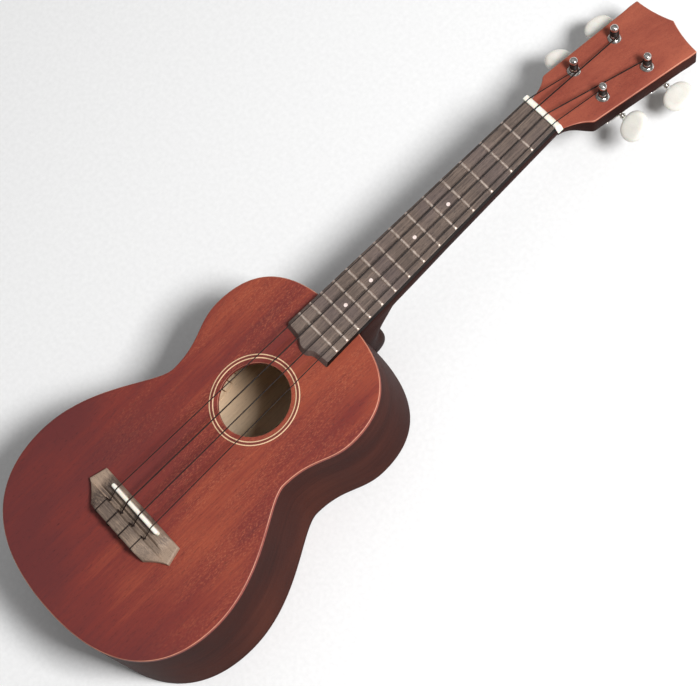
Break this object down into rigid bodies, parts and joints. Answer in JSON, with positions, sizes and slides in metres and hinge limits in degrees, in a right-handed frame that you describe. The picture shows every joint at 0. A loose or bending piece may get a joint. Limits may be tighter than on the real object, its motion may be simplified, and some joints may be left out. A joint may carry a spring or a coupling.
{
  "type": "ukulele",
  "caption": "Small four-string acoustic instrument: waisted hollow wooden sound box, fretted neck, leaning head with geared string tuners, and a tied-string bridge.",
  "frame": {"origin": "centre of the bounding box on the plane of the flat back, which the instrument lies on", "axes": "+Z out of the soundboard, +Y along the neck towards the head, +X towards the string with the highest pitch"},
  "size_m": [0.1812, 0.5371, 0.0776],
  "materials": {
    "mahogany": "satin open-pore mahogany",
    "dark_mahogany": "satin dark mahogany",
    "bare_wood": "bare sanded wood",
    "rosewood": "oiled rosewood",
    "rosette_inlay": "cream and dark purfling lines, flush",
    "ivory": "polished bone-like plastic",
    "nylon": "smooth black nylon",
    "fret_wire": "nickel silver wire",
    "chrome": "bright chrome plate",
    "gear_brass": "plain machined brass",
    "button_plastic": "glossy ivory white plastic"
  },
  "bodies": {
    "root": {"soundboard": "mahogany", "neck": "mahogany", "back_plate": "dark_mahogany", "sides": "dark_mahogany", "top_lining": "bare_wood", "back_lining": "bare_wood", "neck_block": "bare_wood", "tail_block": "bare_wood", "top_brace_upper": "bare_wood", "top_brace_lower": "bare_wood", "back_brace_upper": "bare_wood", "back_brace_lower": "bare_wood", "bridge_plate": "bare_wood", "fretboard": "rosewood", "bridge": "rosewood", "rosette": "rosette_inlay", "nut": "ivory", "saddle": "ivory", "string_1_g": "nylon", "string_2_c": "nylon", "string_3_e": "nylon", "string_4_a": "nylon", "fret_01": "fret_wire", "fret_02": "fret_wire", "fret_03": "fret_wire", "fret_04": "fret_wire", "fret_05": "fret_wire", "fret_06": "fret_wire", "fret_07": "fret_wire", "fret_08": "fret_wire", "fret_09": "fret_wire", "fret_10": "fret_wire", "fret_11": "fret_wire", "fret_12": "fret_wire", "fret_13": "fret_wire", "fret_14": "fret_wire", "bushing_g": "chrome", "tuner_plate_g": "chrome", "bushing_c": "chrome", "tuner_plate_c": "chrome", "bushing_e": "chrome", "tuner_plate_e": "chrome", "bushing_a": "chrome", "tuner_plate_a": "chrome"},
    "knob_g": {"worm_shaft_g": "chrome", "button_g": "button_plastic"},
    "string_post_g": {"post_g": "chrome", "gear_g": "gear_brass"},
    "knob_c": {"worm_shaft_c": "chrome", "button_c": "button_plastic"},
    "string_post_c": {"post_c": "chrome", "gear_c": "gear_brass"},
    "knob_e": {"worm_shaft_e": "chrome", "button_e": "button_plastic"},
    "string_post_e": {"post_e": "chrome", "gear_e": "gear_brass"},
    "knob_a": {"worm_shaft_a": "chrome", "button_a": "button_plastic"},
    "string_post_a": {"post_a": "chrome", "gear_a": "gear_brass"}
  },
  "joints": [
    {"name": "knob_g_turn", "type": "hinge", "parent": "root", "child": "knob_g", "pos_m": [-0.0133, 0.20104, 0.03673], "axis": [-1, 0, 0], "continuous": true},
    {"name": "post_g_turn", "type": "hinge", "parent": "root", "child": "string_post_g", "pos_m": [-0.0133, 0.19904, 0.05449], "axis": [0, 0.2924, 0.9563], "continuous": true},
    {"name": "knob_c_turn", "type": "hinge", "parent": "root", "child": "knob_c", "pos_m": [-0.015, 0.23528, 0.02627], "axis": [-1, 0, 0], "continuous": true},
    {"name": "post_c_turn", "type": "hinge", "parent": "root", "child": "string_post_c", "pos_m": [-0.015, 0.23328, 0.04403], "axis": [0, 0.2924, 0.9563], "continuous": true},
    {"name": "knob_e_turn", "type": "hinge", "parent": "root", "child": "knob_e", "pos_m": [0.015, 0.23528, 0.02627], "axis": [1, 0, 0], "continuous": true},
    {"name": "post_e_turn", "type": "hinge", "parent": "root", "child": "string_post_e", "pos_m": [0.015, 0.23328, 0.04403], "axis": [0, 0.2924, 0.9563], "continuous": true},
    {"name": "knob_a_turn", "type": "hinge", "parent": "root", "child": "knob_a", "pos_m": [0.0133, 0.20104, 0.03673], "axis": [1, 0, 0], "continuous": true},
    {"name": "post_a_turn", "type": "hinge", "parent": "root", "child": "string_post_a", "pos_m": [0.0133, 0.19904, 0.05449], "axis": [0, 0.2924, 0.9563], "continuous": true}
  ],
  "couplings": [
    {"joint": "post_g_turn", "follows": "knob_g_turn", "ratio": -0.071429},
    {"joint": "post_c_turn", "follows": "knob_c_turn", "ratio": -0.071429},
    {"joint": "post_e_turn", "follows": "knob_e_turn", "ratio": 0.071429},
    {"joint": "post_a_turn", "follows": "knob_a_turn", "ratio": 0.071429}
  ]
}
